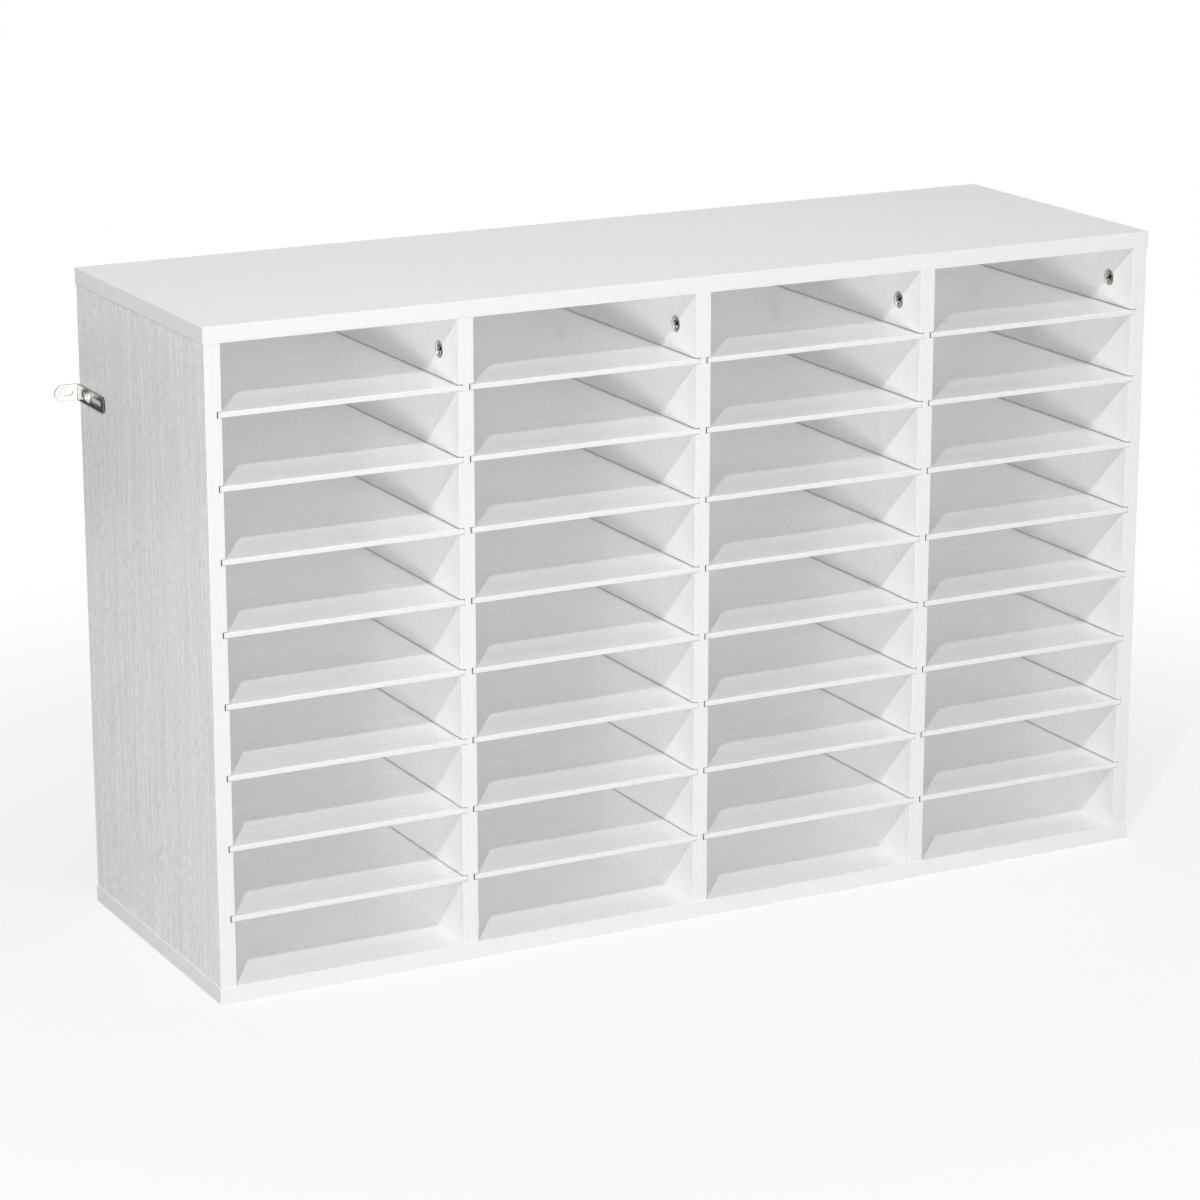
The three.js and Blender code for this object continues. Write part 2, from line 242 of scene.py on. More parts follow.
def laminate(name, axis, pale, shade, gloss=0.42, press=0.05 * MM):
    """White board laminate: a printed and pressed grain along an axis, between two greys."""
    recipe = new_recipe(name)
    place = recipe.swayed(recipe.place(), SWAYS_PER_METRE, GRAIN_SWAY)
    fibres = recipe.noise(recipe.stretched(place, along_grain(FIBRES_PER_METRE, FIBRE_STRETCH, axis)))
    ticks = recipe.noise(recipe.stretched(place, along_grain(TICKS_PER_METRE, TICK_STRETCH, axis)))
    bands = recipe.noise(recipe.stretched(place, along_grain(BANDS_PER_METRE, BAND_STRETCH, axis)))
    pores = recipe.step(ticks, 0.58, 0.7)
    grain = recipe.step(fibres * 0.5 + ticks * 0.45 + bands * 0.05, 0.4, 0.6)
    colour = recipe.mixed(grain * 0.75 + pores * 0.25, pale, shade)
    return recipe.surface({
        "Base Color": colour,
        "Roughness": gloss + 0.1 * fibres + 0.1 * pores,
        "Normal": recipe.relief(fibres - pores, press),
    })


def grey(level, warmth=0.0):
    """A near-white as red, green, blue and alpha; warmth takes a little out of the blue."""
    return (level, level - warmth / 2, level - warmth, 1.0)


side_laminate = laminate("side_laminate", GRAIN_ALONG_Z, grey(0.96), grey(0.7))
upright_laminate = laminate("upright_laminate", GRAIN_ALONG_Z, grey(0.9), grey(0.85), 0.32)
board_laminate = laminate("board_laminate", GRAIN_ALONG_X, grey(0.9), grey(0.84))
shelf_laminate = laminate("shelf_face_laminate", GRAIN_ALONG_X, grey(0.9), grey(0.78), 0.12, 0.015 * MM)
laminates = (side_laminate, upright_laminate, board_laminate, shelf_laminate)
print("laminates:", [finish.name for finish in laminates])

# %% [markdown]
# ## Edge band and raw core
#
# The narrow front edges carry a glued-on band of white plastic. It is smoother and a touch brighter
# than the faces, with only faint lines along it from the scraper. Where a saw has cut a groove
# through laminate and band, the brown core of pressed wood fibre shows. On the groove walls the core
# is given colours near black, a painted shade for the shade deep in a groove. Both are short recipes
# from the same parts: the band is a weaker laminate, and the core is cells of chips with fine fuzz.

# %% Edge band and core recipes
CHIPS_PER_METRE = 700.0
FUZZ_PER_METRE = 2600.0


def raw_core(name, pale, dark, bump=0.12 * MM):
    """Sawn fibreboard: flat chips of two browns, and fine fuzz that catches the light."""
    recipe = new_recipe(name)
    place = recipe.place()
    chips = recipe.node("TexVoronoi", {}, {"Vector": place, "Scale": CHIPS_PER_METRE}, "Distance")
    fuzz = recipe.noise(place, FUZZ_PER_METRE)
    colour = recipe.mixed(chips * 0.6 + fuzz * 0.4, pale, dark)
    return recipe.surface({
        "Base Color": colour,
        "Roughness": 0.82 + 0.15 * fuzz,
        "Normal": recipe.relief(fuzz - chips, bump),
    })


upright_band = laminate("upright_band", GRAIN_ALONG_Z, grey(0.87), grey(0.84), 0.34, 0.02 * MM)
board_band = laminate("board_band", GRAIN_ALONG_X, grey(0.87), grey(0.84), 0.34, 0.02 * MM)
core = raw_core("board_core", (0.34, 0.27, 0.2, 1.0), (0.2, 0.155, 0.11, 1.0))
# painted shade: the core's recipe in colours near black, for the groove walls, where shade falls deep in a
# groove
painted_groove_shade = raw_core("painted_groove_shade", (0.07, 0.06, 0.05, 1.0), (0.035, 0.03, 0.025, 1.0))
print("edges:", upright_band.name, board_band.name, core.name, painted_groove_shade.name)

# %% [markdown]
# ## Boards as carried outlines
#
# Every board here is a flat outline carried in a straight line: a shelf is its side view carried
# along the column, and an upright is a comb-shaped front view carried from front to back. Sharp
# corners would look like paper, because a real edge is a small round that catches a line of light.
# So the outline's corners are replaced by arcs, and at both ends the outline draws in along a
# quarter round. A Bevel modifier could do this too, but it rounds the saw cuts as well as the edges.


# %% Round the corners of an outline
ARC_STEPS = 3


def rounded(corners, radii, easing):
    """Replaces each right-angled corner of an outline, which runs anticlockwise, by an arc.

    At a corner P between the unit directions d in and e out, the point at angle a of a quarter turn
    is P + r (e - d) + r (d sin a - e cos a), and the way out of the board there is the direction of
    travel, d cos a + e sin a, turned right by a right angle. The way out is scaled by the easing at
    the start and the end of the arc, so that a sawn corner can be left out of the eased ends.
    """
    corners = np.asarray(corners, float)
    into = corners - np.roll(corners, 1, axis=0)
    into /= np.linalg.norm(into, axis=1, keepdims=True)
    d, e = into[:, None], np.roll(into, -1, axis=0)[:, None]
    share = np.linspace(0, 1, ARC_STEPS + 1)[:, None]
    sine, cosine = np.sin(share * np.pi / 2), np.cos(share * np.pi / 2)
    radius = np.asarray(radii, float)[:, None, None]
    points = corners[:, None] + radius * (e - d + d * sine - e * cosine)
    travel = d * cosine + e * sine
    out = np.stack([travel[..., 1], -travel[..., 0]], axis=-1)
    start, end = np.asarray(easing, float).T[:, :, None, None]
    out = out * (start * (1 - share) + end * share)
    return points.reshape(-1, 2), out.reshape(-1, 2)


square = rounded([(0, 0), (1, 0), (1, 1), (0, 1)], [0.1] * 4, [(1, 1)] * 4)
print("a square becomes", len(square[0]), "points")


# %% Carry an outline along an axis
def carried(points, out, start, stop, axis, ease):
    """Carries an outline from start to stop along an axis, with its end edges eased.

    The outline is drawn on the two axes that follow the given one in the order x, y, z, x. At angle
    a of a quarter turn, an end ring lies ease (1 - sin a) from the end and is drawn in by
    ease (1 - cos a). Gives the grid of points and the faces.
    """
    angle = np.linspace(np.pi / 2, 0, ARC_STEPS + 1)
    from_end, drawn_in = ease * (1 - np.sin(angle)), ease * (1 - np.cos(angle))
    along = np.concatenate([start + from_end, stop - from_end[::-1]])
    inset = np.concatenate([drawn_in, drawn_in[::-1]])
    rings = points - inset[:, None, None] * out
    grid = np.empty(rings.shape[:2] + (3,))
    grid[..., axis] = along[:, None]
    grid[..., (axis + 1) % 3] = rings[..., 0]
    grid[..., (axis + 2) % 3] = rings[..., 1]
    index = np.arange(rings.shape[0] * rings.shape[1]).reshape(rings.shape[:2])
    after = np.roll(index, -1, axis=1)
    quads = np.stack([index[:-1], after[:-1], after[1:], index[1:]], axis=-1).reshape(-1, 4)
    return grid.reshape(-1, 3), quads.tolist() + [index[0, ::-1].tolist(), index[-1].tolist()]


def face_finishes(edge_finish, end_finish):
    """The finish of every face of a carried outline: the ends' eased rings go with the ends."""
    per_point = np.repeat(edge_finish, ARC_STEPS + 1)
    rows = np.full((2 * ARC_STEPS + 1, len(per_point)), end_finish)
    rows[ARC_STEPS] = per_point
    return np.append(rows.ravel(), [end_finish, end_finish])


# %% Put a surface into Blender
SMOOTH_UP_TO = math.radians(40)


def add_piece(name, points, faces, finishes, face_finish=None):
    """Makes an object at the origin from points and faces, smooth over shallow angles only."""
    mesh = bpy.data.meshes.new(name)
    mesh.from_pydata(points, [], faces)
    for finish in finishes:
        mesh.materials.append(finish)
    if face_finish is not None:
        mesh.polygons.foreach_set("material_index", face_finish)
    mesh.shade_smooth()
    mesh.set_sharp_from_angle(angle=SMOOTH_UP_TO)
    piece = bpy.data.objects.new(name, mesh)
    bpy.context.scene.collection.objects.link(piece)
    return piece


def flatten_shading(piece):
    """Large faces keep their own normals, and only the small rounds between them are shaded round."""
    piece.modifiers.new("flat_faces", "WEIGHTED_NORMAL").keep_sharp = True


def stand_for(piece, node, body):
    """Lets a piece ride on a body and stand for a CAD node, which it hides."""
    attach(piece, body)
    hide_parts(node)


print("boards can be made")

# %% [markdown]
# ## Boring and grooving
#
# Holes for the fittings and the groove for the back panel are cut the way a workshop cuts them: a
# shape is taken away from a finished board. Blender's Boolean modifier does that, and it leaves the
# wall of the hole in the cutter's own finish, so the hole shows raw core. The cutters are turned
# forms: a profile of radius against height, swung about an axis.


# %% Turn a profile about an axis
ROUND_STEPS = 48


def turned(radii, heights, relief=None, around=ROUND_STEPS):
    """Turns a profile about its axis and closes it with a point at both ends.

    Ring i is the circle (r cos t, r sin t) at height h. The profile runs from the middle of the top
    to the middle of the bottom. A relief, a function of the two flat coordinates, lifts the height of
    the points that look up, which are those before the profile's widest ring.
    """
    turn = np.linspace(0, 2 * np.pi, around, endpoint=False)
    radii, heights = np.asarray(radii, float), np.asarray(heights, float)
    ring = np.empty((len(radii) - 2, around, 3))
    ring[..., 0] = radii[1:-1, None] * np.cos(turn)
    ring[..., 1] = radii[1:-1, None] * np.sin(turn)
    ring[..., 2] = heights[1:-1, None]
    poles = np.array([[0, 0, heights[0]], [0, 0, heights[-1]]])
    if relief is not None:
        top = int(np.argmax(radii)) - 1
        ring[:top, :, 2] += relief(ring[:top, :, 0], ring[:top, :, 1])
        poles[0, 2] += relief(np.zeros(1), np.zeros(1))[0]
    index = np.arange(ring.shape[0] * around).reshape(-1, around)
    after = np.roll(index, -1, axis=1)
    quads = np.stack([index[:-1], index[1:], after[1:], after[:-1]], axis=-1).reshape(-1, 4)
    first, last = np.full(around, index.size), np.full(around, index.size + 1)
    fans = np.concatenate([
        np.stack([first, index[0], after[0]], axis=-1),
        np.stack([last, after[-1], index[-1]], axis=-1),
    ])
    return np.concatenate([ring.reshape(-1, 3), poles]), quads.tolist() + fans.tolist()


def set_up(points, place, facing):
    """Turns points whose height is their third number to face a direction, and moves them to a place."""
    axis = np.asarray(facing, float)
    side = np.array([0.0, 1.0, 0.0])
    frame_axes = np.stack([side, np.cross(axis, side), axis])
    return points @ frame_axes + np.asarray(place)


def joined(parts):
    """Several surfaces as one: points one after another, and faces counted on."""
    starts = np.cumsum([0] + [len(points) for points, _ in parts])
    faces = [[int(start) + i for i in face] for start, (_, own) in zip(starts, parts) for face in own]
    return np.concatenate([points for points, _ in parts]), faces


peg = turned([0, 1, 1, 0], [1, 1, 0, 0])
print("a peg has", len(peg[0]), "points and", len(peg[1]), "faces")

# %% Cut a board with turned or carried cutters
FACE_FINISH, BAND_FINISH, CORE_FINISH, OUTER_FINISH, GROOVE_SHADE_FINISH = range(5)
OVERCUT = 1 * MM  # how far a cutter stands clear of the face it enters


def bore(radius, start, facing, depth):
    """A round cutter that enters a face at start, against its facing, and ends flat at a depth."""
    points, faces = turned([0, radius, radius, 0], [OVERCUT, OVERCUT, -depth, -depth])
    return set_up(points, start, facing), faces


def slab(low, high):
    """A square-edged cutter between two corners: a rectangle carried along x."""
    (_, y0, z0), (_, y1, z1) = low, high
    flat = np.array([(y0, z0), (y1, z0), (y1, z1), (y0, z1)])
    count = len(flat)
    points = np.array([(x, y, z) for x in (low[0], high[0]) for y, z in flat])
    sides = [[i, (i + 1) % count, count + (i + 1) % count, count + i] for i in range(count)]
    return points, sides + [list(range(count))[::-1], list(range(count, 2 * count))]


def cut(board, *batches):
    """Takes each batch of cutters out of a board. Cutters in one batch don't touch each other."""
    finishes = list(board.data.materials)
    cutters = []
    for batch in batches:
        points, faces = joined(batch)
        cutters.append(add_piece("cutter", points, faces, finishes, [CORE_FINISH] * len(faces)))
        step = board.modifiers.new("cut", "BOOLEAN")
        step.operation, step.solver, step.object = "DIFFERENCE", "EXACT", cutters[-1]
    graph = bpy.context.evaluated_depsgraph_get()
    whole, board.data = board.data, bpy.data.meshes.new_from_object(board.evaluated_get(graph))
    board.modifiers.clear()
    bpy.data.meshes.remove(whole)
    for cutter in cutters:
        bpy.data.meshes.remove(cutter.data)
    board.data.set_sharp_from_angle(angle=SMOOTH_UP_TO)


# %% [markdown]
# ## Where the fittings sit
#
# Each upright is held to the top board by two cam locks: a round cam let into its face and a bolt
# that stands up into the top board. Two long screws come up through the bottom board. The places of
# the cams follow from the CAD nodes: a cam is as wide as its node, and its lowest point is the
# node's lowest point.

# %% Read the places of cams, bolts and screws
CAM_RADIUS = 7.5 * MM
BOLT_RADIUS = 3 * MM
BOLT_REACH = 11 * MM  # into the top board
FIT_GAP = 0.3 * MM  # round a fitting in its bore
CAM_SINK = 0.2 * MM  # rim of a cam below the face
CAM_BORE_DEPTH = 12.8 * MM
SCREW_SETBACK = 50 * MM  # from the front and rear edges of a side
SCREW_PILOT = 40 * MM
ENDS = ("front", "rear")


def cam_place(upright, end):
    """Middle of a cam's mouth on the face of its upright, and the way that it faces along x."""
    low, high = corners_of(f"cam_lock_{upright}_{end}")
    board_low, board_high = corners_of(upright)
    faces_left = low[0] - board_low[0] < board_high[0] - high[0]
    x = board_low[0] if faces_left else board_high[0]
    place = np.array([x, (low[1] + high[1]) / 2, low[2] + (high[1] - low[1]) / 2])
    return place, np.array([-1.0 if faces_left else 1.0, 0.0, 0.0])


side_low, side_high = corners_of("left_side")
screw_depths = (side_low[1] + SCREW_SETBACK, side_high[1] - SCREW_SETBACK)
upright_middles = [float(np.mean([side[0] for side in corners_of(name)])) for name in upright_names]
print("cams at", np.round(cam_place("divider_1", "front")[0] / MM, 1), "mm and alike")

# %% [markdown]
# ## Uprights
#
# Seen from the front, an upright is a comb: a groove for each shelf is sawn into every face that
# looks into a column. The grooves are a little taller than a shelf, which leaves the dark line over
# each shelf end that the photograph shows. The outline walks up the left face, over the top and down
# the right face, stepping into each groove on the way. The groove's own corners stay crisp, and its
# walls get a painted shade: the raw core's recipe in colours near black.

# %% The comb outline of an upright
EDGE_ROUND = 0.4 * MM
SAWN_ROUND = 0.08 * MM
GROOVE_DEPTH = 4.5 * MM
GROOVE_SEAT = 0.1 * MM  # under a shelf
GROOVE_HEADROOM = 0.9 * MM  # over a shelf
EASED, SAWN, MOUTH_IN, MOUTH_OUT = (1, 1), (0, 0), (1, 0), (0, 1)


# A groove's walls take the painted groove shade, colours near black that stand for the shade in it
def groove(enter, leave, face, bottom, after):
    """The four corners that step into a groove and out again, with radius, easing and next finish."""
    return [
        (enter, face, SAWN_ROUND, MOUTH_IN, GROOVE_SHADE_FINISH),
        (enter, bottom, SAWN_ROUND, SAWN, GROOVE_SHADE_FINISH),
        (leave, bottom, SAWN_ROUND, SAWN, GROOVE_SHADE_FINISH),
        (leave, face, SAWN_ROUND, MOUTH_OUT, after),
    ]


def comb_outline(low, high, grooved_left, grooved_right, levels):
    """Outline of an upright on (z, x): up the left face, over, and down the right face."""
    left_finish, right_finish = (FACE_FINISH if grooved else OUTER_FINISH
                                 for grooved in (grooved_left, grooved_right))
    walk = [(low[2], low[0], EDGE_ROUND, EASED, left_finish)]
    for floor, roof in levels if grooved_left else []:
        walk += groove(floor, roof, low[0], low[0] + GROOVE_DEPTH, FACE_FINISH)
    walk.append((high[2], low[0], EDGE_ROUND, EASED, CORE_FINISH))
    walk.append((high[2], high[0], EDGE_ROUND, EASED, right_finish))
    for floor, roof in reversed(levels) if grooved_right else []:
        walk += groove(roof, floor, high[0], high[0] - GROOVE_DEPTH, FACE_FINISH)
    walk.append((low[2], high[0], EDGE_ROUND, EASED, CORE_FINISH))
    z, x, radii, easing, finish = zip(*walk)
    return rounded(np.column_stack([z, x]), radii, easing), np.array(finish)


shelf_boxes = [corners_of(name) for name in shelf_names if name.startswith("shelf_c1_")]
groove_levels = sorted((low[2] - GROOVE_SEAT, high[2] + GROOVE_HEADROOM) for low, high in shelf_boxes)
print(len(groove_levels), "grooves on a face, the lowest at", round(groove_levels[0][0] / MM, 1), "mm")

# %% Make the five uprights
PANEL_GROOVE_DEPTH = 5 * MM
PANEL_PLAY = 0.2 * MM
BRACKET_PILOT_RADIUS = 2.3 * MM
BRACKET_PILOT_DEPTH = 9.5 * MM
panel_low, panel_high = corners_of("back_panel")
left_screw_low, left_screw_high = corners_of("bracket_screw_left")
bracket_screw_middle = (left_screw_low + left_screw_high) / 2


def side_cutters(low, high, inner):
    """The back panel's groove inside a side and the pilot of its bracket screw outside."""
    inner_face, outer_face = (high[0], low[0]) if inner > 0 else (low[0], high[0])
    ends = sorted((inner_face - inner * PANEL_GROOVE_DEPTH, inner_face + inner * OVERCUT))
    channel = slab(
        (ends[0], panel_low[1] - PANEL_PLAY, low[2] - OVERCUT),
        (ends[1], panel_high[1] + PANEL_PLAY, high[2] + OVERCUT),
    )
    pilot_start = (outer_face, *bracket_screw_middle[1:])
    pilot = bore(BRACKET_PILOT_RADIUS, pilot_start, (-inner, 0, 0), BRACKET_PILOT_DEPTH)
    return [channel, pilot]


for name, middle in zip(upright_names, upright_middles):
    low, high = corners_of(name)
    is_left, is_right = name == upright_names[0], name == upright_names[-1]
    (points, out), edge_finish = comb_outline(low, high, not is_left, not is_right, groove_levels)
    grid, faces = carried(points, out, low[1], high[1], 1, EDGE_ROUND)
    finishes = [upright_laminate, upright_band, core, side_laminate, painted_groove_shade]
    upright = add_piece(f"board_{name}", grid, faces, finishes, face_finishes(edge_finish, BAND_FINISH))
    cams = [cam_place(name, end) for end in ENDS]
    cam_bores = [bore(CAM_RADIUS + FIT_GAP, place, way, CAM_BORE_DEPTH) for place, way in cams]
    bolt_bores = [
        bore(BOLT_RADIUS + FIT_GAP, (middle, place[1], high[2]), (0, 0, 1), high[2] - place[2])
        for place, _ in cams
    ]
    pilots = [
        bore(2 * MM, (middle, y, low[2]), (0, 0, -1), SCREW_PILOT) for y in screw_depths
    ]
    extra = side_cutters(low, high, 1 if is_left else -1) if is_left or is_right else []
    cut(upright, cam_bores, bolt_bores + pilots, *([extra] if extra else []))
    flatten_shading(upright)
    stand_for(upright, name, "carcass")
    print(upright.name, len(upright.data.polygons), "faces")

# %% [markdown]
# ## Top and bottom boards
#
# These two boards reach one millimetre past the sides and the front of the uprights, and they are
# banded all round. Their outline is the plain side view, carried from left to right. Holes for the
# bolts stop short in the top board, and the bottom board is countersunk from below for the screws.

# %% Make the top and bottom boards
SINK_RADIUS = 5 * MM
SCREW_HOLE_RADIUS = 2.5 * MM


def countersink(place):
    """A cutter for a screw hole through the bottom board, with a cone for the head below."""
    _, high = corners_of("bottom_board")
    radii = [0, SINK_RADIUS, SINK_RADIUS, SCREW_HOLE_RADIUS, SCREW_HOLE_RADIUS, 0]
    cone_end = SCREW_HOLE_RADIUS - SINK_RADIUS
    through = -(high[2] + OVERCUT)
    heights = [OVERCUT, OVERCUT, 0, cone_end, through, through]
    points, faces = turned(radii, heights)
    return set_up(points, place, (0, 0, -1)), faces


def cap_board(name, groove_low, groove_high, holes):
    """A banded board with the back panel's groove between two levels, and its holes."""
    low, high = corners_of(name)
    corners = [(low[1], low[2]), (high[1], low[2]), (high[1], high[2]), (low[1], high[2])]
    points, out = rounded(corners, [EDGE_ROUND] * 4, [EASED] * 4)
    edge_finish = np.array([FACE_FINISH, BAND_FINISH, FACE_FINISH, BAND_FINISH])
    grid, faces = carried(points, out, low[0], high[0], 0, EDGE_ROUND)
    finishes = [board_laminate, board_band, core]
    board = add_piece(f"board_{name}", grid, faces, finishes, face_finishes(edge_finish, BAND_FINISH))
    channel = slab(
        (panel_low[0] - PANEL_PLAY, panel_low[1] - PANEL_PLAY, groove_low),
        (panel_high[0] + PANEL_PLAY, panel_high[1] + PANEL_PLAY, groove_high),
    )
    cut(board, [channel, *holes])
    flatten_shading(board)
    stand_for(board, name, "carcass")
    print(board.name, len(board.data.polygons), "faces")


roof_under = corners_of("top_board")[0][2]
floor_top = corners_of("bottom_board")[1][2]
cam_depths = [cam_place("divider_1", end)[0][1] for end in ENDS]
bolt_holes = [
    bore(BOLT_RADIUS + FIT_GAP, (x, y, roof_under), (0, 0, -1), BOLT_REACH + FIT_GAP)
    for x in upright_middles for y in cam_depths
]
screw_holes = [countersink((x, y, cad_low[2])) for x in upright_middles for y in screw_depths]
cap_board("top_board", roof_under - OVERCUT, roof_under + PANEL_GROOVE_DEPTH, bolt_holes)
cap_board("bottom_board", floor_top - PANEL_GROOVE_DEPTH, floor_top + OVERCUT, screw_holes)

# %% [markdown]
# ## Back panel
#
# A thin hardboard closes the back, held in grooves all round. Its front is foiled white and its rear
# is bare: pressed wood fibre with a fine screen texture from the press. The finish depends on the
# face alone, so one outline with two finishes is enough.

# %% Hardboard recipe and the panel
SCREEN_PER_METRE = 620.0


def hardboard(name, pale, dark):
    """Bare hardboard: clouded brown with the woven mark of the press screen."""
    recipe = new_recipe(name)
    place = recipe.place()
    clouds = recipe.noise(place, 14.0, 4.0)
    fibres = recipe.noise(place, 900.0, 2.0)
    wires = {"wave_type": "BANDS", "wave_profile": "SIN"}
    across = recipe.node("TexWave", {**wires, "bands_direction": "X"},
                         {"Vector": place, "Scale": SCREEN_PER_METRE, "Distortion": 0.6}, "Fac")
    upward = recipe.node("TexWave", {**wires, "bands_direction": "Z"},
                         {"Vector": place, "Scale": SCREEN_PER_METRE, "Distortion": 0.6}, "Fac")
    weave = across * upward
    return recipe.surface({
        "Base Color": recipe.mixed(clouds * 0.5 + fibres * 0.35 + weave * 0.15, pale, dark),
        "Roughness": 0.7 + 0.2 * fibres,
        "Normal": recipe.relief(weave * 0.7 + fibres * 0.3, 0.1 * MM),
    })


panel_foil = laminate("panel_foil", GRAIN_ALONG_Z, grey(0.88), grey(0.82), 0.5)
panel_rear = hardboard("panel_rear", (0.45, 0.3, 0.18, 1.0), (0.27, 0.165, 0.09, 1.0))
corners = [(panel_low[1], panel_low[2]), (panel_high[1], panel_low[2]),
           (panel_high[1], panel_high[2]), (panel_low[1], panel_high[2])]
points, out = rounded(corners, [SAWN_ROUND] * 4, [EASED] * 4)
FOIL, REAR = 0, 1
grid, faces = carried(points, out, panel_low[0], panel_high[0], 0, SAWN_ROUND)
finish_of_edges = np.array([REAR, REAR, REAR, FOIL])
panel = add_piece("panel_back", grid, faces, [panel_foil, panel_rear],
                  face_finishes(finish_of_edges, REAR))
flatten_shading(panel)
stand_for(panel, "back_panel", "carcass")
print(panel.name, "foiled in front, bare behind")

# %% [markdown]
# ## Shelves
#
# The shelves are thin boards of the same white laminate with a soft, banded front edge. Each lies
# loose in its grooves and slides out to the front, so each is its own piece on its own body. Its
# side view is carried from one groove to the other, and like the ones in the photograph it is pushed
# to the right, which leaves a dark slit at its left end only.

# %% Make the shelves
SHELF_ROUND = 0.5 * MM
SHELF_PUSH = 0.4 * MM  # of the half millimetre that the CAD leaves at the right end

for name in shelf_names:
    low, high = corners_of(name)
    corners = [(low[1], low[2]), (high[1], low[2]), (high[1], high[2]), (low[1], high[2])]
    radii = [SHELF_ROUND, SAWN_ROUND, SAWN_ROUND, SHELF_ROUND]
    points, out = rounded(corners, radii, [EASED] * 4)
    grid, faces = carried(points, out, low[0], high[0] + SHELF_PUSH, 0, SAWN_ROUND)
    edge_finish = np.array([FACE_FINISH, CORE_FINISH, FACE_FINISH, BAND_FINISH])
    shelf = add_piece(f"loose_{name}", grid, faces, [shelf_laminate, board_band, core],
                      face_finishes(edge_finish, CORE_FINISH))
    flatten_shading(shelf)
    stand_for(shelf, name, name)
print(len(shelf_names), "shelves of", len(faces), "faces")

# %% [markdown]
# ## Cam locks
#
# A cam is a small die-cast drum with a plated face: a rim, a dished middle, a cross for the driver
# and an arrow that points to the bolt. Its face is a height over a disc, so it is turned from a
# profile and the cross and the arrow are added as a relief. A height that falls quickly across the
# edge of a drawn shape needs only one thing: the distance from a point to that shape.

# %% Cross and arrow as distances
CROSS_TURN = math.pi / 5


def beyond_box(u, v, half_long, half_wide):
    """Distance outside a rectangle about the middle, less than zero inside it."""
    past_u, past_v = np.abs(u) - half_long, np.abs(v) - half_wide
    outside = np.hypot(np.maximum(past_u, 0), np.maximum(past_v, 0))
    return outside + np.minimum(np.maximum(past_u, past_v), 0)


def sunk(distance, depth, slope):
    """A floor that falls to a depth within a shape, over a slope just inside its edge."""
    share = np.clip(-distance / slope, 0, 1)
    return -depth * share * share * (3 - 2 * share)


def cross_recess(length, width, depth):
    """A relief with a cross of two bars, turned as a driver left it."""
    def relief(u, v):
        a = u * math.cos(CROSS_TURN) + v * math.sin(CROSS_TURN)
        b = v * math.cos(CROSS_TURN) - u * math.sin(CROSS_TURN)
        bars = [beyond_box(a, b, length / 2, width / 2), beyond_box(b, a, length / 2, width / 2)]
        return sunk(np.minimum(*bars), depth, width / 3)
    return relief


print("distance at the edge:", beyond_box(np.array([2.0]), np.array([0.0]), 2.0, 1.0)[0])

# %% Plated metal recipe
PITS_PER_METRE = 2200.0


def plated(name, bright, dull, gloss, bump=0.03 * MM, metal=1.0, clouds_per_metre=160.0):
    """Plated steel or die-cast metal: clouded colour, fine pits and a gloss that wanders."""
    recipe = new_recipe(name)
    place = recipe.place()
    clouds = recipe.noise(place, clouds_per_metre, 4.0, 0.6)
    pits = recipe.noise(place, PITS_PER_METRE, 2.0)
    return recipe.surface({
        "Base Color": recipe.mixed(recipe.step(clouds, 0.35, 0.65), bright, dull),
        "Metallic": metal,
        "Roughness": gloss + 0.2 * (clouds * 0.6 + pits * 0.4),
        "Normal": recipe.relief(pits * 0.6 + clouds * 0.4, bump),
    })


nickel = plated("cam_nickel", (0.9, 0.88, 0.84, 1.0), (0.74, 0.71, 0.65, 1.0), 0.2)
cast = plated("cam_casting", (0.7, 0.66, 0.6, 1.0), (0.17, 0.16, 0.14, 1.0), 0.22, 0.1 * MM,
              clouds_per_metre=420.0)
# painted shade: near-black colours for the faces deep in the driver's cross, where shade falls
recess = plated("cam_recess_painted_shade", (0.05, 0.047, 0.042, 1.0), (0.02, 0.019, 0.018, 1.0), 0.5)
zinc = plated("bright_zinc", (0.78, 0.77, 0.74, 1.0), (0.6, 0.59, 0.56, 1.0), 0.2)
print("metals:", [finish.name for finish in (nickel, cast, recess, zinc)])

# %% Make the cam locks
CAM_RIM = 1.1 * MM
CAM_DISH = 0.6 * MM
CAM_DEPTH = 12.3 * MM
CAM_EDGE = 0.25 * MM
CAM_CROSS = (7.4 * MM, 2.6 * MM, 4 * MM)
ARROW_PLACE, ARROW_SIZE, ARROW_HEIGHT = 4.7 * MM, 1.1 * MM, 0.3 * MM
FACE_RINGS = 44
RIM, CASTING, PAINTED_RECESS_SHADE = range(3)
RECESS_START = 0.4 * MM  # below the dish


def cam_face(u, v):
    """Relief of a cam: the driver's cross and a raised arrow that points up to the bolt."""
    tip = np.maximum(np.abs(u) + (v - ARROW_PLACE) * 0.6, ARROW_PLACE - ARROW_SIZE - v) - ARROW_SIZE / 2
    return cross_recess(*CAM_CROSS)(u, v) - sunk(tip, ARROW_HEIGHT, ARROW_SIZE / 4)


def cam_profile():
    """Dish from the middle outwards, up the rim, round its edge and down the drum."""
    dish = np.linspace(0, CAM_RADIUS - CAM_RIM, FACE_RINGS)
    rim = [CAM_RADIUS - CAM_RIM + CAM_EDGE, CAM_RADIUS - CAM_EDGE, CAM_RADIUS, CAM_RADIUS]
    radii = [*dish, *rim, CAM_RADIUS - CAM_EDGE, 0]
    bottom = -CAM_SINK - CAM_DEPTH
    heights = [*np.full(FACE_RINGS, -CAM_SINK - CAM_DISH), -CAM_SINK, -CAM_SINK, -CAM_SINK - CAM_EDGE,
               bottom + CAM_EDGE, bottom, bottom]
    return radii, heights


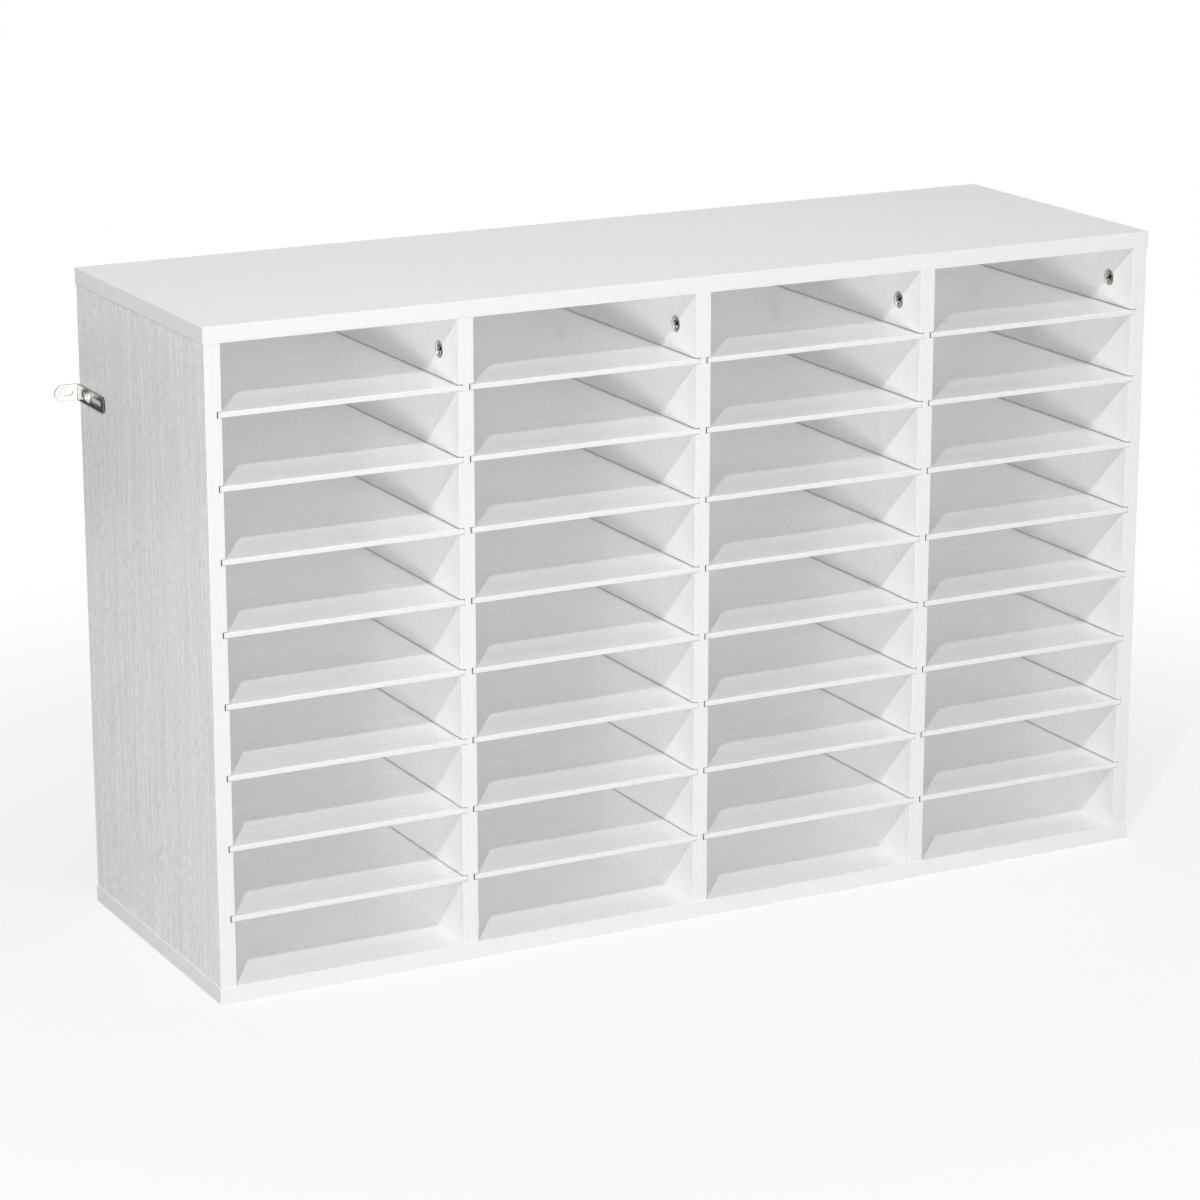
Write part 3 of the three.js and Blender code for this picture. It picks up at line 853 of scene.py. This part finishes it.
def finish_cam(lock, place, way):
    """Rim and drum are plated, the dish is bare casting, and what lies deep in the cross gets a painted shade.
    """
    middles = np.empty(3 * len(lock.data.polygons))
    lock.data.polygons.foreach_get("center", middles)
    away = middles.reshape(-1, 3) - place
    depth = -away @ way
    radius = np.linalg.norm(away + depth[:, None] * way, axis=1)
    finish = np.where((radius < CAM_RADIUS - CAM_RIM) & (depth < CAM_CROSS[2] + CAM_DISH + MM), CASTING, RIM)
    # faces deeper than RECESS_START below the dish get the painted shade of the recess
    finish[(finish == CASTING) & (depth > CAM_SINK + CAM_DISH + RECESS_START)] = PAINTED_RECESS_SHADE
    lock.data.polygons.foreach_set("material_index", finish)


def bolt_form(foot, top):
    """The bolt: a plain neck and a threaded end whose radius rises and falls along it."""
    length = top - foot
    height = np.linspace(0, length, 160)
    thread = 0.35 * MM * (0.5 + 0.5 * np.cos(height / (1.2 * MM) * 2 * np.pi))
    radius = BOLT_RADIUS - np.where(height > length - BOLT_REACH, thread, 0.4 * MM)
    radii, heights = [0, *radius[::-1], 0], [length, *height[::-1], 0]
    return turned(radii, heights, around=24)


for name, middle in zip(upright_names, upright_middles):
    for end in ENDS:
        node = f"cam_lock_{name}_{end}"
        place, way = cam_place(name, end)
        cam, cam_faces = turned(*cam_profile(), relief=cam_face, around=96)
        bolt, bolt_faces = bolt_form(place[2], corners_of(node)[1][2])
        bolt_points = bolt + np.array([middle, place[1], place[2]])
        points, faces = joined([(set_up(cam, place, way), cam_faces), (bolt_points, bolt_faces)])
        lock = add_piece(f"fitting_{node}", points, faces, [nickel, cast, recess])
        finish_cam(lock, place, way)
        stand_for(lock, node, "carcass")
print("cam locks of", len(faces), "faces")

# %% [markdown]
# ## Wall brackets
#
# A bracket is a strip of steel, punched with two round-ended slots and folded once, so that the case
# can be tied to a wall. Above the slots' middle line, the strip is a bar whose lower edge follows
# the slot and whose upper edge follows the cut corners; below it is the mirror image. So each half is
# a section carried along the folded line, and the two are sewn together where there is no slot.

# %% The strip as a function of length and height
STRIP_THICKNESS = 1.8 * MM
FOLD_RADIUS = 1.9 * MM  # at the middle of the strip's thickness
SIDE_CUT, WALL_CUT = 3 * MM, 5 * MM
SLOT_RADIUS = 2.5 * MM
SIDE_SLOT = (7 * MM, 48 * MM)  # margin from the end of its leg, and length
WALL_SLOT = (6.5 * MM, 10.5 * MM)

bracket_low, bracket_high = corners_of("wall_bracket_left")
strip_half = (bracket_high[2] - bracket_low[2]) / 2
fold_outside = FOLD_RADIUS + STRIP_THICKNESS / 2
side_run = bracket_high[1] - bracket_low[1] - fold_outside
wall_run = bracket_high[0] - bracket_low[0] - fold_outside
fold_run = FOLD_RADIUS * math.pi / 2
strip_length = side_run + fold_run + wall_run


def slot_half(s, start, length):
    """Half the slot's height at a distance along the strip: a round at each end, straight between."""
    past = np.maximum(np.abs(s - start - length / 2) - (length / 2 - SLOT_RADIUS), 0)
    return np.sqrt(np.maximum(SLOT_RADIUS**2 - past**2, 0))


def half_heights(s):
    """Lower and upper edge of the strip's upper half: the slots, and the corners cut at 45 degrees."""
    wall_start = strip_length - WALL_SLOT[0] - WALL_SLOT[1]
    lower = slot_half(s, *SIDE_SLOT) + slot_half(s, wall_start, WALL_SLOT[1])
    upper = np.minimum(strip_half, strip_half - SIDE_CUT + s)
    return lower, np.minimum(upper, strip_half - WALL_CUT + strip_length - s)


def folded(s):
    """Middle line of the strip from above, and the way across it that looks to the case and wall."""
    bend = np.clip((s - side_run) / FOLD_RADIUS, 0, math.pi / 2)
    across = np.stack([-np.cos(bend), np.sin(bend)], axis=-1)
    centre = np.array([fold_outside, -fold_outside])
    line = centre + FOLD_RADIUS * across
    line[:, 1] += np.minimum(s - side_run, 0)
    line[:, 0] += np.maximum(s - side_run - fold_run, 0)
    return line, across


print("strip", round(strip_length / MM, 1), "mm long before folding")

# %% Make the brackets
BURR = 0.2 * MM
SLOT_STEPS = 14
SIDE_LEG, LIT_WALL_LEG, DARK_EDGES_AND_FOLD_SHADE = range(3)


def round_ended(start, length):
    """Places along a slot, closer together towards its ends."""
    swing = SLOT_RADIUS * (1 - np.cos(np.linspace(0, np.pi / 2, SLOT_STEPS)))
    return np.concatenate([start + swing, start + length - swing])


def strip_half_surface(s):
    """The upper half as a grid: along the strip, and round its section from the slot's edge."""
    lower, upper = half_heights(s)
    share = np.array([0.0, 0.5, 1.0, 1.0, 0.5, 0.0])
    face = np.array([1, 1, 1, -1, -1, -1]) * STRIP_THICKNESS / 2
    line, across = folded(s)
    grid = np.empty((len(s), len(share), 3))
    grid[..., :2] = line[:, None] + face[:, None] * across[:, None]
    grid[..., 2] = lower[:, None] + share * (upper - lower)[:, None]
    index = np.arange(len(s) * len(share)).reshape(len(s), len(share))
    after = np.roll(index, -1, axis=1)
    quads = np.stack([index[:-1], after[:-1], after[1:], index[1:]], axis=-1)
    no_slot = (lower[:-1] <= 0) & (lower[1:] <= 0)
    inner_wall = np.arange(len(share)) == len(share) - 1
    kept = ~(no_slot[:, None] & inner_wall)
    finish = np.append(strip_finishes(s)[kept], [DARK_EDGES_AND_FOLD_SHADE, DARK_EDGES_AND_FOLD_SHADE])
    return grid.reshape(-1, 3), quads[kept].tolist() + [index[0].tolist(), index[-1, ::-1].tolist()], finish


def strip_finishes(s):
    """Finish of each quad, in the order of the grid: dark on cut edges, painted shade on the fold, then the
    side leg and the brightened wall leg, which is painted light.
    """
    middle = (s[:-1] + s[1:]) / 2
    # the first half of the fold is painted shade, and the rest of it goes with the wall leg
    faces = np.where(middle > side_run, np.where(middle > side_run + fold_run / 2, LIT_WALL_LEG, DARK_EDGES_AND_FOLD_SHADE), SIDE_LEG)
    is_cut = np.array([False, False, True, False, False, True])
    return np.where(is_cut, DARK_EDGES_AND_FOLD_SHADE, faces[:, None])


def sew(piece):
    """Merges points that coincide and turns every face outwards."""
    mesh = bmesh.new()
    mesh.from_mesh(piece.data)
    bmesh.ops.remove_doubles(mesh, verts=mesh.verts, dist=MM / 1000)
    bmesh.ops.recalc_face_normals(mesh, faces=mesh.faces)
    mesh.to_mesh(piece.data)
    mesh.free()


strip_metals = [
    plated("zinc_on_the_side", (0.72, 0.7, 0.66, 1.0), (0.6, 0.58, 0.54, 1.0), 0.12),
    # painted light: the wall leg is a near-white, mostly non-metal copy of the side leg's zinc, brightened for
    # the lamp light its front catches
    plated("zinc_on_the_wall_painted_light", (0.95, 0.945, 0.93, 1.0), (0.88, 0.87, 0.85, 1.0), 0.4, metal=0.3),
    # dark on the cut edges; on the first half of the fold the same dark finish is a painted shade in the bend
    plated("dark_edges_and_fold_shade", (0.16, 0.155, 0.15, 1.0), (0.08, 0.078, 0.075, 1.0), 0.3),
]
stations = np.unique(np.concatenate([
    [0, SIDE_CUT, strip_length - WALL_CUT, strip_length],
    round_ended(*SIDE_SLOT),
    round_ended(strip_length - sum(WALL_SLOT), WALL_SLOT[1]),
    np.linspace(side_run, side_run + fold_run, 9),
]))
upper_points, upper_faces, half_finish = strip_half_surface(stations)
strip_points, strip_faces = joined([
    (upper_points, upper_faces),
    (upper_points * (1, 1, -1), [face[::-1] for face in upper_faces]),
])

for side, direction in (("left", -1), ("right", 1)):
    node = f"wall_bracket_{side}"
    low, high = corners_of(node)
    against_side = low[0] if direction > 0 else high[0]
    corner = np.array([against_side, high[1], (low[2] + high[2]) / 2])
    points = strip_points * (direction, 1, 1) + corner
    bracket = add_piece(f"folded_{node}", points, strip_faces, strip_metals, np.tile(half_finish, 2))
    sew(bracket)
    burr = bracket.modifiers.new("eased_edges", "BEVEL")
    burr.width, burr.segments, burr.limit_method = BURR, 2, "ANGLE"
    flatten_shading(bracket)
    stand_for(bracket, node, f"bracket_{side}")
print("brackets of", len(bracket.data.polygons), "faces")

# %% [markdown]
# ## Screws
#
# A round-headed screw clamps each bracket, and ten flat-headed screws hold the bottom board. Both
# are turned like the cams: a head with a driver's cross, a shank, and a thread that rises and falls
# along it.

# %% Make the bracket screws
SCREW_HEAD = 4.3 * MM
SCREW_HEAD_HEIGHT = 2.75 * MM  # a hair clear of the bracket, which slides under it
SCREW_RADIUS = 2 * MM
THREAD_PITCH = 1.4 * MM
THREAD_DEPTH = 0.35 * MM
SCREW_CROSS = (4.6 * MM, 1.2 * MM, 1.7 * MM)


def threaded_shank(start, end, radius):
    """Radii and heights of a thread: a sawtooth-like wave along the shank, down to a point."""
    height = np.linspace(start, end + radius, int((start - end) / THREAD_PITCH * 6))
    wave = np.abs(np.mod(height / THREAD_PITCH, 1.0) * 2 - 1)
    return [*(radius - THREAD_DEPTH * wave), 0], [*height, end]


def domed_screw(tip):
    """A round head as a quarter ellipse with a cross recess, then the shank."""
    angle = np.linspace(0, np.pi / 2, 40)
    shank_radii, shank_heights = threaded_shank(0, -tip, SCREW_RADIUS)
    radii = [*(SCREW_HEAD * np.sin(angle)), *shank_radii]
    heights = [*(SCREW_HEAD_HEIGHT * np.cos(angle)), *shank_heights]
    return turned(radii, heights, relief=cross_recess(*SCREW_CROSS), around=80)


for side, direction in (("left", -1), ("right", 1)):
    node = f"bracket_screw_{side}"
    low, high = corners_of(node)
    outermost = low[0] if direction < 0 else high[0]
    head_plane = outermost - direction * SCREW_HEAD_HEIGHT
    place = np.array([head_plane, *((low + high) / 2)[1:]])
    points, faces = domed_screw(high[0] - low[0] - SCREW_HEAD_HEIGHT)
    screw = add_piece(f"domed_{node}", set_up(points, place, (direction, 0, 0)), faces, [zinc])
    stand_for(screw, node, "carcass")
print("bracket screws of", len(faces), "faces")

# %% Make the bottom screws
FLAT_HEAD = 4.6 * MM
FLAT_HEAD_SINK = 0.4 * MM  # below the underside of the board
BOTTOM_SCREW_LENGTH = 48 * MM
BOTTOM_SCREW_RADIUS = 1.9 * MM


def flat_screw():
    """A flat head with a cross recess, its cone, and the shank."""
    face = np.linspace(0, FLAT_HEAD - 0.15 * MM, 36)
    cone = FLAT_HEAD - BOTTOM_SCREW_RADIUS
    shank = threaded_shank(-FLAT_HEAD_SINK - cone, -BOTTOM_SCREW_LENGTH, BOTTOM_SCREW_RADIUS)
    radii = [*face, FLAT_HEAD, *shank[0]]
    heights = [*np.full(len(face), -FLAT_HEAD_SINK), -FLAT_HEAD_SINK - 0.15 * MM, *shank[1]]
    return turned(radii, heights, relief=cross_recess(*SCREW_CROSS), around=48)


points, faces = flat_screw()
for column, x in enumerate(upright_middles):
    for end, y in zip(ENDS, screw_depths):
        place = (x, y, cad_low[2])
        screw = add_piece(f"bottom_screw_{column + 1}_{end}", set_up(points, place, (0, 0, -1)), faces, [zinc])
        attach(screw, "carcass")
print(2 * len(upright_middles), "bottom screws of", len(faces), "faces")

# %% [markdown]
# ## Floor and background
#
# The photograph's ground is pure white. A floor bright enough to turn white under the lamps would
# throw its light back on to the case, so only what the camera sees is whitened: Light Path tells a
# camera ray from a ray of light. Near the case the floor keeps about a third of its own shading,
# which holds the shadow, and it fades to plain white with distance so that it has no edge.

# %% Make the floor
FLOOR_HALF = 30.0
FLOOR_DROP = 0.3 * MM
WHITE = (1.0, 1.0, 1.0, 1.0)
NEAR_WHITENESS = 0.7
FADE_START, FADE_END = 0.45, 1.3


def seen_directly(recipe):
    """1 for a ray from the camera, or one that was mirrored or passed through glass on the way."""
    kinds = ("Is Camera Ray", "Is Glossy Ray", "Is Transmission Ray")
    camera_ray, glossy, passed = (recipe.node("LightPath", output=kind) for kind in kinds)
    return camera_ray.math("MAXIMUM", camera_ray, glossy.math("MAXIMUM", glossy, passed))


recipe = new_recipe("pale_floor")
distance = recipe.node("VectorMath", {"operation": "LENGTH"}, {0: recipe.place()}, "Value")
fade = recipe.step(distance, FADE_START, FADE_END)
seen = seen_directly(recipe)
whiteness = seen * (NEAR_WHITENESS + (1 - NEAR_WHITENESS) * fade)
paint = recipe.node("BsdfDiffuse", {}, {"Color": recipe.mixed(seen, grey(0.45), grey(0.9))})
glow = recipe.node("Emission", {}, {"Color": WHITE, "Strength": 1.0})
shading = recipe.node("MixShader", {}, {0: whiteness, 1: paint, 2: glow})
recipe.node("OutputMaterial", {}, {"Surface": shading})
level = cad_low[2] - FLOOR_DROP
floor_points = [(x, y, level) for x, y in ((-1, -1), (1, -1), (1, 1), (-1, 1))]
floor_points = np.array(floor_points) * (FLOOR_HALF, FLOOR_HALF, 1)
floor = add_piece("floor", floor_points, [[0, 1, 2, 3]], [recipe.owner])
print("floor at", round(level / MM, 2), "mm")

# %% [markdown]
# ## A dark card for the metal
#
# Bright metal shows nothing but its surroundings, so in a white room a bracket turns into white
# paper. A photographer stands a dark card just out of the picture, where the metal mirrors it, and
# the bracket's side leg in the photograph is indeed dark where it doesn't mirror its own fold. The
# card here is seen by mirrored rays only, so it takes no light from the case and is in no picture.

# %% Stand the card behind on the left
CARD_LOW, CARD_HIGH = (-0.68, 0.32), (-0.5, 0.5)  # x and z of two corners
CARD_BACK = 0.33

recipe = new_recipe("dark_card")
black = recipe.node("Emission", {}, {"Color": grey(0.06), "Strength": 1.0})
recipe.node("OutputMaterial", {}, {"Surface": black})
(left, bottom), (right, top) = CARD_LOW, CARD_HIGH
card_corners = ((left, bottom), (right, bottom), (right, top), (left, top))
card_points = [(x, CARD_BACK, z) for x, z in card_corners]
card = add_piece("dark_card", card_points, [[0, 1, 2, 3]], [recipe.owner])
card.visible_camera = card.visible_diffuse = card.visible_shadow = False
print("card", round(right - left, 2), "m wide")

# %% [markdown]
# ## Light
#
# The photograph has an even light with one small lamp in it, from the front left and above: each
# shelf throws a crisp shadow on the next, about sixty millimetres behind the front edge. The small
# lamp stands where the shadows point to. A wide panel overhead is the studio's soft box, and three
# low panels stand for the light that a white ground throws back, which brightens the right walls of
# the lower holes most. Light that has been thrown about between white faces is slow to work out, so
# an even fill without shadows takes its place. Two far lights finish it: a weak one from beside lifts
# the left side a little, and one from behind lights the sides that this view doesn't show. That one
# is kept out of reflections, because at so flat an angle it would glare on the top board, and so is
# the low panel in front, which would show as a white patch in the front edges.

# %% Surroundings and lamps
AROUND_STRENGTH = 0.0
AIM = (0.0, 0.0, 0.3)
LAMPS = {  # place, width in metres, watts, is mirrored
    "key_lamp": ((-1.84, -2.4, 2.57), 0.09, 49.0, True),
    "far_left_panel": ((-3.2, -2.5, 0.15), 0.6, 52.0, True),
    "low_left_panel": ((-1.3, -2.1, 0.2), 0.35, 4.0, True),
    "low_front_panel": ((0.65, -1.9, 0.25), 0.45, 9.0, False),
    "overhead_panel": ((0.0, -0.3, 2.6), 1.6, 14.5, True),
}
FAR_LAMPS = {  # the way of the light, as long as it is strong; has shadows; is mirrored
    "even_fill": ((0.09, 0.12, -0.265), False, True),
    "light_beside": ((0.025, -0.01, 0.0), True, True),
    "light_behind": ((-0.42, -0.6, 0.0), True, False),
}

sky = bpy.data.worlds.new("white_studio")
bpy.context.scene.world = sky
recipe = Recipe(sky)
strength = AROUND_STRENGTH + (1 - AROUND_STRENGTH) * seen_directly(recipe)
backdrop = recipe.node("Background", {}, {"Color": WHITE, "Strength": strength})
recipe.node("OutputWorld", {}, {"Surface": backdrop})


def add_lamp(name, place, size, watts, is_mirrored):
    """A round lamp that looks at the middle of the case."""
    light = bpy.data.lights.new(name, "AREA")
    light.shape, light.size, light.energy = "DISK", size, watts
    lamp = bpy.data.objects.new(name, light)
    lamp.location, lamp.visible_camera, lamp.visible_glossy = place, False, is_mirrored
    away = np.array(place) - np.array(AIM)
    lamp.rotation_euler = (math.acos(away[2] / np.linalg.norm(away)), 0, math.atan2(away[0], -away[1]))
    bpy.context.scene.collection.objects.link(lamp)
    return lamp


for name, settings in LAMPS.items():
    add_lamp(name, *settings)


def add_far_lamp(name, way, casts_shadow, is_mirrored):
    """Even light from far away; its strength on a face turned to it is the length of the way."""
    light = bpy.data.lights.new(name, "SUN")
    length = float(np.linalg.norm(way))
    light.energy, light.use_shadow = math.pi * length, casts_shadow
    lamp = bpy.data.objects.new(name, light)
    lamp.visible_glossy = is_mirrored
    lamp.rotation_euler = (math.acos(-way[2] / length), 0, math.atan2(-way[0], way[1]))
    bpy.context.scene.collection.objects.link(lamp)


for name, settings in FAR_LAMPS.items():
    add_far_lamp(name, *settings)
print(len(LAMPS) + len(FAR_LAMPS), "lamps and the surroundings")

# %% [markdown]
# ## The size
#
# Dressing must not change the object's size. The box of the CAD model is kept from the start.
